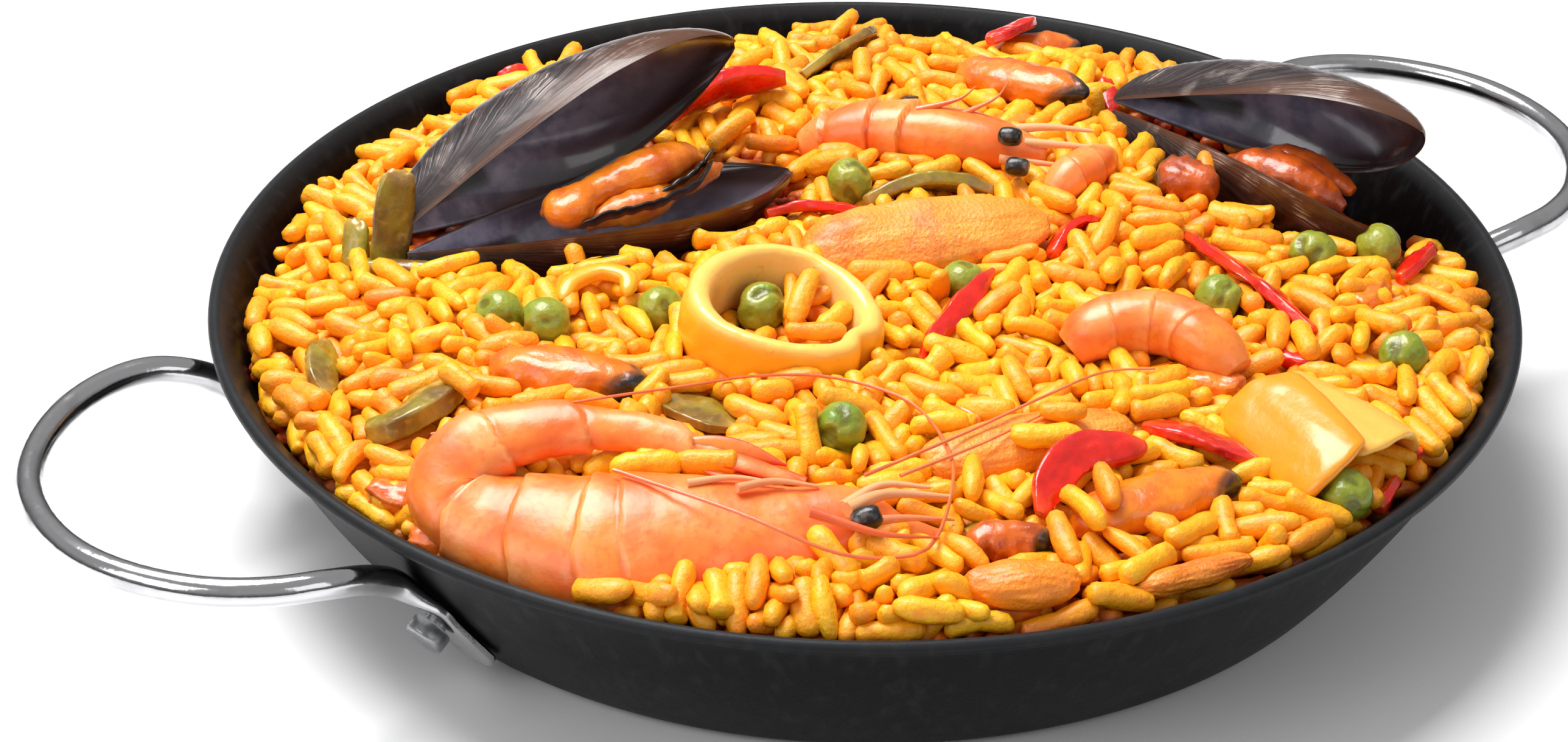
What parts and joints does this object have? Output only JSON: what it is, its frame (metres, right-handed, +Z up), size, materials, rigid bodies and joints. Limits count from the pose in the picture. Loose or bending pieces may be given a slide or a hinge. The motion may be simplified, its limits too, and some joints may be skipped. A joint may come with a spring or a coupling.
{
  "type": "paella in a two-handled pan",
  "caption": "Seafood paella in a shallow black steel pan with chrome loop handles: saffron rice, open mussels, prawns, squid, chicken, peas and pepper strips.",
  "frame": {"origin": "middle of the pan on the surface it stands on", "axes": "+X through one handle, +Z up, +Y across the pan away from the front prawn"},
  "size_m": [0.2936, 0.22, 0.0634],
  "materials": {
    "pan": "satin black",
    "chrome": "polished",
    "rivet": "satin",
    "rice": "moist cooked rice, saffron yellow",
    "pea": "moist, olive green",
    "red_pepper": "glossy cooked pepper",
    "green_pepper": "glossy cooked pepper, olive",
    "shell": "glossy mussel shell, blue-black",
    "mussel_meat": "moist, orange",
    "prawn": "moist, pink-orange",
    "chicken": "cooked meat, golden",
    "squid": "moist, pale yellow"
  },
  "bodies": {
    "root": {"cheek_bit": "chicken", "chicken_1": "chicken", "chicken_2": "chicken", "chicken_3": "chicken", "chicken_4": "chicken", "green_pepper_1": "green_pepper", "green_pepper_2": "green_pepper", "green_pepper_3": "green_pepper", "green_pepper_4": "green_pepper", "green_pepper_5": "green_pepper", "green_pepper_6": "green_pepper", "green_pepper_7": "green_pepper", "handle_left": "chrome", "handle_right": "chrome", "mussel_left_lower": "shell", "mussel_left_upper": "shell", "mussel_meat_1": "mussel_meat", "mussel_meat_2": "mussel_meat", "mussel_meat_3": "mussel_meat", "mussel_meat_4": "mussel_meat", "mussel_meat_5": "mussel_meat", "mussel_meat_left": "mussel_meat", "mussel_meat_right": "mussel_meat", "mussel_right_lower": "shell", "mussel_right_upper": "shell", "pan": "pan", "pea_01": "pea", "pea_02": "pea", "pea_03": "pea", "pea_04": "pea", "pea_05": "pea", "pea_06": "pea", "pea_07": "pea", "pea_08": "pea", "pea_09": "pea", "pea_10": "pea", "pea_11": "pea", "pea_12": "pea", "prawn_arch": "prawn", "prawn_back": "prawn", "prawn_front": "prawn", "red_pepper_1": "red_pepper", "red_pepper_10": "red_pepper", "red_pepper_11": "red_pepper", "red_pepper_2": "red_pepper", "red_pepper_3": "red_pepper", "red_pepper_4": "red_pepper", "red_pepper_5": "red_pepper", "red_pepper_6": "red_pepper", "red_pepper_7": "red_pepper", "red_pepper_8": "red_pepper", "red_pepper_9": "red_pepper", "rice": "rice", "rivet_left_back": "rivet", "rivet_left_front": "rivet", "rivet_right_back": "rivet", "rivet_right_front": "rivet", "shrimp": "prawn", "squid_fold": "squid", "squid_ring": "squid"}
  },
  "joints": []
}
